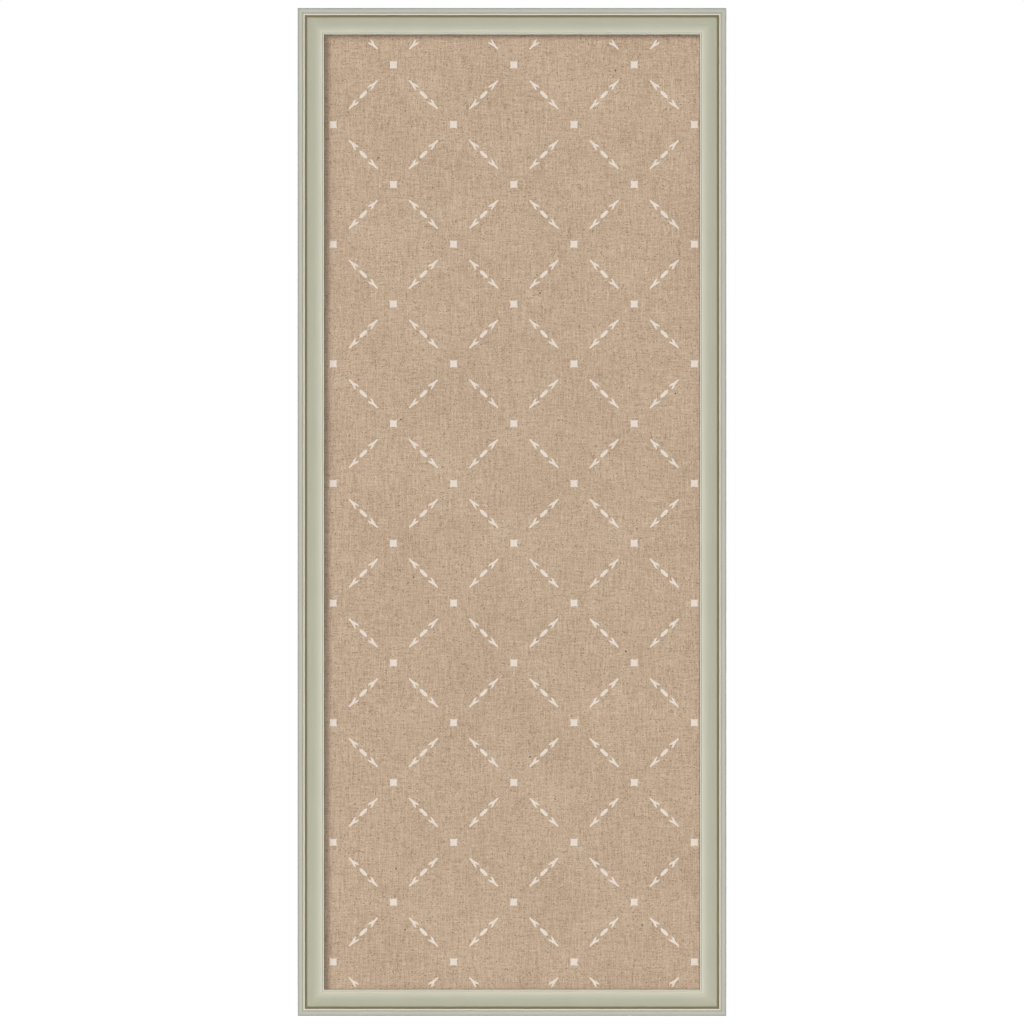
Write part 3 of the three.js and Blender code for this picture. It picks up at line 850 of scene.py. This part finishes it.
def screw(side, side_x, place, finish):
    """A pan-head wood screw with a cross recess"""
    shank = SCREW_DIAMETER / 2
    head = HEAD_DIAMETER / 2
    profile = [(0, -SCREW_LENGTH), (shank, SCREW_TIP - SCREW_LENGTH), (shank, 0),
               (head - HEAD_EDGE, 0), (head, HEAD_EDGE)]
    profile += dome(head, HEAD_FLAT / 2, HEAD_RIM, HEAD_HEIGHT)
    profile += [(0, HEAD_HEIGHT)]
    x, z = side_x * HANGER_X, HANGER_Z - SCREW_DROPS[place]
    seat = BACK_Y + SCREW_SEAT
    piece = turned(f"screw_{side}_{place}", profile, (x, seat, z), finish)
    arm, reach = RECESS_WIDTH / 2, RECESS_REACH / 2
    recess = bmesh.new()
    for depth, share in [(HEAD_HEIGHT - RECESS_DEPTH, RECESS_FOOT_SHARE),
                         (HEAD_HEIGHT + OVERRUN, RECESS_MOUTH_SHARE)]:
        for quarter in range(4):
            turn = Matrix.Rotation(quarter * QUARTER + QUARTER / 4, 2)
            for across, along in [(arm, arm), (arm, reach * share), (-arm, reach * share)]:
                a, b = turn @ Vector((across, along))
                recess.verts.new((x + a, seat + depth, z + b))
    recess.verts.ensure_lookup_table()
    count = len(recess.verts) // 2
    foot, mouth = recess.verts[:count], recess.verts[count:]
    recess.faces.new(foot)
    recess.faces.new(mouth)
    skin(recess, [foot, mouth])
    cut(piece, object_of("cutter", recess))
    return settle(piece, "board", "zinc_plate", f"hanger_screw_{side}_{place}")


def bumper(side, side_x, finish):
    radius = BUMPER_DIAMETER / 2
    profile = [(0, 0), (radius - BUMPER_EDGE, 0), (radius, BUMPER_EDGE)]
    profile += dome(radius, BUMPER_FLAT / 2, BUMPER_RIM, BUMPER_HEIGHT)
    profile += [(0, BUMPER_HEIGHT)]
    x = side_x * (OUTER_WIDTH / 2 - BUMPER_INSET)
    z = (BACK_WIDTH - OUTER_HEIGHT) / 2
    piece = turned(f"bumper_{side}", profile, (x, BACK_Y + SEAT_GAP, z), finish)
    return settle(piece, "board", "bumper_rubber", f"wall_bumper_{side}")


def painted_wood():
    """Grey-green satin paint: cooler on the outer band; pale on the beads, partly rubbed paint and
    partly a painted highlight; darker in the scribe by painted shade; dark in the groove and at
    the start of the scoop, partly glaze and partly painted shade; and a painted shade on the nose
    and inner face of the lip"""
    finish = Finish("painted_wood", specular=0.4)
    across, along = finish.attribute("across"), finish.attribute("along")
    brushed = finish.vector(finish.math("MULTIPLY", along, BRUSH_SHORTENING), across)
    streaks = finish.noise(brushed, BRUSH_MARK, 3)
    wobble = finish.noise(finish.vector(along, across), WOBBLE_LENGTH, 2)
    shift = finish.spread(wobble, *NOISE_RANGE, -TONE_EDGE_WOBBLE, TONE_EDGE_WOBBLE)
    across = finish.math("ADD", across, shift)
    # Each member's start, its width, and the tones at shares of that width
    members = [
        (0, BAND_WIDTH, [(0, "a9aba1"), (0.2, "acaca2"), (0.5, "b3b5a7"), (0.9, "b3b19f")]),
        # Darker in the scribe line: painted shade
        (SCRIBE_START, SCRIBE_WIDTH, [(0, "a5a389"), (0.6, "adab95")]),
        # Pale on the bead: partly rubbed paint, partly a painted highlight
        (BEAD_START, BEAD_WIDTH, [(0, "bab8a5"), (0.36, "cccaba"), (0.6, "eae7db"),
                                  (0.86, "e8e5d7")]),
        # Dark in the groove: partly glaze, partly painted shade
        (GROOVE_START, GROOVE_WIDTH, [(0, "a7a083"), (0.2, "7f785a"), (0.36, "726b4a"),
                                      (0.8, "76704f")]),
        # Darker at the start of the scoop, next to the groove: partly glaze, partly painted shade
        (SCOOP_START, SMALL_BEAD_START - SCOOP_START, [
            (0, "afab8f"), (0.05, "bcb9a1"), (0.12, "c3c3ad"), (0.2, "bdbea7"),
            (0.35, "bfbeaa"), (0.45, "bdbca8"), (0.93, "bfbea9")]),
        # Pale on the small bead: partly rubbed paint, partly a painted highlight
        (SMALL_BEAD_START, SMALL_BEAD_WIDTH, [(0, "cfcebb"), (0.5, "e0decc"), (0.85, "cdccbb")]),
        # Dark on the nose and the inner face of the lip: painted shade
        (LIP_START, LIP_FLAT, [(0, "c3c3b3"), (0.3, "dddbcb"), (0.75, "e0ddcf"),
                               (0.92, "9c9886"), (1, "847f6e")]),
    ]
    shares = [((start + place * width) / MOULDING_WIDTH, code)
              for start, width, tones in members for place, code in tones]
    paint = finish.ramp(finish.math("DIVIDE", across, MOULDING_WIDTH), shares)
    worked = finish.spread(streaks, 0.25, 0.75, *BRUSH_TONES)
    mottle = finish.noise(finish.place(), MOTTLE_SIZE, 3)
    level = finish.math("MULTIPLY", worked, finish.spread(mottle, *NOISE_RANGE, *MOTTLE_TONES))
    colour = finish.add("ShaderNodeVectorMath", {0: paint, "Scale": level}, operation="SCALE")
    finish.put("Base Color", colour)
    finish.put("Roughness", finish.spread(streaks, *NOISE_RANGE, *PAINT_ROUGHNESS))
    finish.put("Normal", finish.bump(streaks, BRUSH_DEPTH))
    return finish.material


def bare_wood():
    """Planed softwood, with paint that has crept round the outer edge"""
    finish = Finish("bare_wood", roughness=0.8, specular=0.3)
    across, along = finish.attribute("across"), finish.attribute("along")
    drawn_out = finish.math("MULTIPLY", along, GRAIN_SHORTENING)
    lines = finish.vector(drawn_out, across, finish.part_of(finish.place(), "Y"))
    grain = finish.noise(lines, RING_SPACING, 4, 0.6, 0.4)
    pores = finish.noise(lines, PORE_SPACING, 2)
    wood = finish.ramp(grain, [(0.3, "b08a5c"), (0.5, "cba876"), (0.7, "d9bf92")])
    wood = finish.blend(finish.spread(pores, 0.35, 0.6, 0.35, 0.0), wood, linear("8a6238"))
    creep = finish.noise(finish.vector(along, across), CREEP_LENGTH, 4)
    edge = finish.spread(creep, *NOISE_RANGE, *PAINT_CREEP)
    painted = finish.math("LESS_THAN", across, edge)
    finish.put("Base Color", finish.blend(painted, wood, linear("b9baa8")))
    finish.put("Normal", finish.bump(pores, PORE_DEPTH))
    return finish.material


def weave_of(finish, cloth):
    """Plain weave: the place across its threads, their numbers, and the height of the surface"""
    wander = finish.noise(cloth, THREAD_WANDER_LENGTH, 3)
    shift = finish.spread(wander, 0.2, 0.8, -THREAD_WANDER, THREAD_WANDER)
    u = finish.math("ADD", finish.part_of(cloth, "X"), shift)
    v = finish.math("SUBTRACT", finish.part_of(cloth, "Y"), shift)
    warp, weft = finish.math("DIVIDE", u, WARP_PITCH), finish.math("DIVIDE", v, WEFT_PITCH)
    crossing = finish.math("MULTIPLY", finish.wave(warp), finish.wave(weft))
    warp_hump, weft_hump = finish.hump(warp), finish.hump(weft)
    warp_height = finish.math("MULTIPLY", warp_hump, finish.spread(crossing, -1, 1))
    weft_height = finish.math("MULTIPLY", weft_hump, finish.spread(crossing, 1, -1))
    warp_number, weft_number = finish.math("FLOOR", warp), finish.math("FLOOR", weft)
    return {
        "u": u,
        "v": v,
        "warp_number": warp_number,
        "weft_number": weft_number,
        "warp_hump": warp_hump,
        "weft_hump": weft_hump,
        "height": finish.math("MAXIMUM", warp_height, weft_height),
        "crossing_tone": finish.speckle(finish.vector(warp_number, weft_number)),
    }


def slubs(finish, number, way, length):
    """The slow change of tone along one set of threads"""
    apart = finish.math("MULTIPLY", number, THREADS_APART)
    return finish.noise(finish.vector(apart, finish.math("DIVIDE", way, length)), 1.0, 2)


def straw(finish, weave):
    """How far the dark slivers of straw, which lie along single threads, cover the cloth"""
    covers = []
    for thread, way in (("weft", "u"), ("warp", "v")):
        number = weave[f"{thread}_number"]
        start = finish.speckle(finish.vector(number, len(covers)))
        place = finish.math("MULTIPLY_ADD", weave[way], 1 / STRAW_LENGTH, start)
        hump = finish.math("MULTIPLY", weave[f"{thread}_hump"], finish.hump(place))
        sliver = finish.vector(number, finish.math("FLOOR", place), len(covers))
        chance = finish.spread(finish.speckle(sliver), 1 - STRAW_SHARE, 1)
        outline = finish.spread(hump, *STRAW_EDGE_SHARES)
        covers.append(finish.math("MULTIPLY", outline, chance))
    return finish.math("MAXIMUM", *covers)


def knots(finish, weave):
    """1 on the few small knots of dark fibre"""
    threads = finish.vector(weave["u"], weave["v"])
    distance = finish.cells(threads, KNOT_SPACING, voronoi_dimensions="2D")
    radius = KNOT_RADIUS / KNOT_SPACING
    return finish.spread(distance, radius / 2, radius, 1, 0)


def linen():
    """Undyed linen: uneven threads both ways, cloudy tone, slivers of straw, a few knots, and
    painted shade in the gaps between the threads
    """
    finish = Finish("linen", roughness=0.92, specular=0.2)
    cloth = finish.cloth_place()
    weave = weave_of(finish, cloth)
    causes = [
        (slubs(finish, weave["warp_number"], weave["v"], WARP_SLUB_LENGTH), WARP_TONE),
        (slubs(finish, weave["weft_number"], weave["u"], WEFT_SLUB_LENGTH), WEFT_TONE),
        (weave["crossing_tone"], CROSSING_TONE),
        (finish.noise(cloth, CLOUD_SIZE, 3), CLOUD_TONE),
        # Darker in the gaps of the weave: painted shade
        (weave["height"], GAP_SHADE_TONE),
    ]
    tone = TONE_START
    for cause, most in causes:
        tone = finish.math("MULTIPLY_ADD", cause, most, tone)
    colour = finish.ramp(tone, [(0.0, "917961"), (0.5, "bba188"), (1.0, "ddc7ae")])
    colour = finish.blend(straw(finish, weave), colour, linear("4e3821"))
    finish.put("Base Color", finish.blend(knots(finish, weave), colour, linear("432d18")))
    finish.put("Sheen Weight", 0.15)
    finish.put("Sheen Roughness", 0.6)
    finish.put("Normal", finish.bump(weave["height"], WEAVE_HEIGHT))
    return finish.material


def ink():
    """Chalk-white ink, thin over the crowns of the threads and missing in some of the gaps"""
    finish = Finish("print_ink", roughness=0.85, specular=0.25)
    weave = weave_of(finish, finish.cloth_place())
    cover = finish.math("MULTIPLY_ADD", weave["crossing_tone"], INK_CROSSING_TONE,
                        weave["height"])
    colour = finish.ramp(cover, [(0.1, "c6b5a2"), (0.55, "e5d9cc"), (1.0, "eee3d8")])
    finish.put("Base Color", colour)
    finish.put("Normal", finish.bump(weave["height"], WEAVE_HEIGHT * INK_HEIGHT_SHARE))
    return finish.material


def hardboard():
    """Smooth-faced hardboard: pressed brown fibres, finer and darker flecks between them"""
    finish = Finish("hardboard", specular=0.35)
    place = finish.place()
    fibres = finish.noise(place, FIBRE_SIZE, 5, 0.65, 1.2)
    patches = finish.noise(place, PATCH_SIZE, 3)
    colour = finish.ramp(fibres, [(0.3, "5c3d25"), (0.5, "7a5738"), (0.72, "93704c")])
    patchy = finish.spread(patches, *NOISE_RANGE, 0.0, 0.35)
    colour = finish.blend(patchy, colour, linear("6a4a2f"))
    flecks = finish.spread(finish.noise(place, FLECK_SIZE, 1), 0.66, 0.72, 0.0, 0.7)
    finish.put("Base Color", finish.blend(flecks, colour, linear("3a2617")))
    finish.put("Roughness", finish.spread(patches, *NOISE_RANGE, 0.45, 0.65))
    finish.put("Normal", finish.bump(fibres, FIBRE_DEPTH))
    return finish.material


def cork():
    """Pressed cork granules"""
    finish = Finish("cork", roughness=0.9, specular=0.3)
    place = finish.place()
    grains = finish.part_of(finish.cells(place, GRANULE_SIZE, "Color"), "X")
    to_edge = finish.cells(place, GRANULE_SIZE, feature="DISTANCE_TO_EDGE")
    crowns = finish.spread(to_edge, 0.0, GRANULE_GAP_SHARE)
    colour = finish.ramp(grains, [(0.0, "8f683e"), (0.6, "b48a5a"), (1.0, "caa273")])
    finish.put("Base Color", finish.blend(crowns, linear("5c3f24"), colour))
    finish.put("Normal", finish.bump(crowns, GRANULE_DEPTH))
    return finish.material


def metal(name, pale, dark, roughness, grain):
    """Plated or bare steel with a mottled sheen and fine rolling marks"""
    finish = Finish(name, metallic=1.0)
    place = finish.place()
    marks = finish.noise(finish.stretch(place, 1, 1, ROLLING_SHORTENING), grain, 3)
    bloom = finish.spread(finish.noise(place, 6 * grain, 3), *NOISE_RANGE)
    finish.put("Base Color", finish.blend(bloom, linear(pale), linear(dark)))
    finish.put("Roughness", finish.spread(marks, *NOISE_RANGE, roughness, roughness + 0.2))
    finish.put("Normal", finish.bump(marks, ROLLING_DEPTH))
    return finish.material


def rubber():
    """Dull grey-brown rubber with a fine moulded grain and patches of dust"""
    finish = Finish("bumper_rubber", specular=0.35)
    place = finish.place()
    grain = finish.noise(place, RUBBER_GRAIN, 3)
    dust = finish.noise(place, DUST_SIZE, 4)
    dusty = finish.spread(dust, 0.4, 0.7, 0.0, 0.5)
    finish.put("Base Color", finish.blend(dusty, linear("4a4744"), linear("6b6762")))
    finish.put("Roughness", finish.spread(dust, *NOISE_RANGE, 0.6, 0.85))
    finish.put("Normal", finish.bump(grain, RUBBER_DEPTH))
    return finish.material


def carry_over(node, finish, width):
    """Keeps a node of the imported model, with a finish and eased edges"""
    piece = frame["nodes"][node]
    piece.data.materials.clear()
    piece.data.materials.append(finish)
    ease(piece, width)


def camera():
    data = bpy.data.cameras.new("camera")
    data.lens = data.sensor_width * CAMERA_DISTANCE / VIEW_WIDTH
    piece = new_object("camera", data)
    piece.location = (0, FRONT_Y - CAMERA_DISTANCE, 0)
    piece.rotation_euler = (QUARTER, 0, 0)
    bpy.context.scene.camera = piece


def sun(name, slopes, ahead, level, softness_deg, receivers):
    """A far lamp that lights only its receivers. It stands behind the board where ahead is 1 and
    in front of it where ahead is -1, and its slopes are to the side and up for each such unit."""
    source = Vector((slopes[0], ahead, slopes[1]))
    data = bpy.data.lights.new(name, "SUN")
    data.energy = math.pi * level * source.length
    data.angle = math.radians(softness_deg)
    piece = new_object(name, data)
    piece.rotation_euler = source.to_track_quat("Z", "Y").to_euler()
    lit = bpy.data.collections.new(f"{name}_receivers")
    for receiver in receivers:
        lit.objects.link(receiver)
    piece.light_linking.receiver_collection = lit


def seen_directly(tree):
    """1 where the camera, a reflection or a clear piece shows the surface, and 0 for its light"""
    path = tree.nodes.new("ShaderNodeLightPath")
    seen = path.outputs["Is Camera Ray"]
    for ray in ("Is Glossy Ray", "Is Transmission Ray"):
        either = tree.nodes.new("ShaderNodeMath")
        either.operation = "MAXIMUM"
        tree.links.new(seen, either.inputs[0])
        tree.links.new(path.outputs[ray], either.inputs[1])
        seen = either.outputs[0]
    return seen


def world():
    """Even light from all sides, which the camera and reflections see as white"""
    surroundings = bpy.data.worlds.new("world")
    bpy.context.scene.world = surroundings
    surroundings.use_nodes = True
    tree = surroundings.node_tree
    strength = tree.nodes.new("ShaderNodeMapRange")
    strength.inputs["To Min"].default_value = AMBIENT
    tree.links.new(seen_directly(tree), strength.inputs["Value"])
    background = tree.nodes["Background"]
    background.inputs["Color"].default_value = (1, 1, 1, 1)
    tree.links.new(strength.outputs[0], background.inputs["Strength"])


def floor():
    shape = bmesh.new()
    x = FLOOR_WIDTH / 2
    corners = [(-x, -FLOOR_FRONT), (x, -FLOOR_FRONT), (x, FLOOR_BACK), (-x, FLOOR_BACK)]
    shape.faces.new([shape.verts.new((a, b, -FLOOR_DROP)) for a, b in corners])
    piece = object_of("floor", shape)
    finish = Finish("floor", roughness=0.9, specular=0.2)
    seen = seen_directly(finish.tree)
    cast = finish.noise(finish.place(), FLOOR_CLOUD_SIZE, 2)
    pale = finish.ramp(cast, [(0.3, "f3f3f1"), (0.7, "f8f8f6")])
    finish.put("Base Color", finish.blend(seen, linear("bebebe"), pale))
    finish.put("Emission Color", (1, 1, 1, 1))
    finish.put("Emission Strength", finish.math("MULTIPLY", seen, FLOOR_GLOW))
    piece.data.materials.append(finish.material)
    return piece


def lamps(panel, frame_pieces, ground):
    board = [piece for piece in bpy.context.scene.objects if piece.type == "MESH"]
    board.remove(ground)
    sun("key", KEY_SLOPES, -1, KEY_LEVEL, KEY_SOFTNESS_DEG, [*panel, ground])
    front = (0, FRONT_UP_SLOPE)
    sun("linen_front", front, -1, LINEN_FRONT_LEVEL, FRONT_SOFTNESS_DEG, panel)
    sun("frame_front", front, -1, FRAME_FRONT_LEVEL, FRONT_SOFTNESS_DEG, frame_pieces)
    for side_x in (-1, 1):
        slopes = (side_x * REAR_SIDE_SLOPE, REAR_UP_SLOPE)
        sun("rear", slopes, 1, REAR_LEVEL, REAR_SOFTNESS_DEG, board)


def linen_panel():
    """The printed linen, stretched over the cork, with the hardboard behind it"""
    sheet = linen_sheet(linen())
    trellis = linen_print(ink())
    carry_over("cork_core", cork(), BOARD_EDGE)
    carry_over("hardboard_back", hardboard(), BOARD_EDGE)
    return [sheet, trellis]


def fixings():
    """The hangers and bumpers on the back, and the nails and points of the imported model"""
    zinc = metal("zinc_plate", "cfd1cf", "a9aaa4", 0.28, ZINC_GRAIN)
    steel = metal("nail_steel", "8f9192", "6d6e6e", 0.35, STEEL_GRAIN)
    dull_rubber = rubber()
    for side, side_x in (("left", -1), ("right", 1)):
        strap(side, side_x, zinc)
        ring(side, side_x, zinc)
        for place in SCREW_DROPS:
            screw(side, side_x, place, zinc)
        bumper(side, side_x, dull_rubber)
    for node in frame["nodes"]:
        if node.startswith("v_nail_"):
            carry_over(node, steel, PLATE_EDGE)
        if node.startswith("framers_point_"):
            carry_over(node, zinc, PLATE_EDGE)


def build():
    camera()
    frame_pieces = rails([painted_wood(), bare_wood()])
    panel = linen_panel()
    fixings()
    ground = floor()
    world()
    lamps(panel, frame_pieces, ground)


build()
bpy.context.scene.view_settings.view_transform = "Standard"
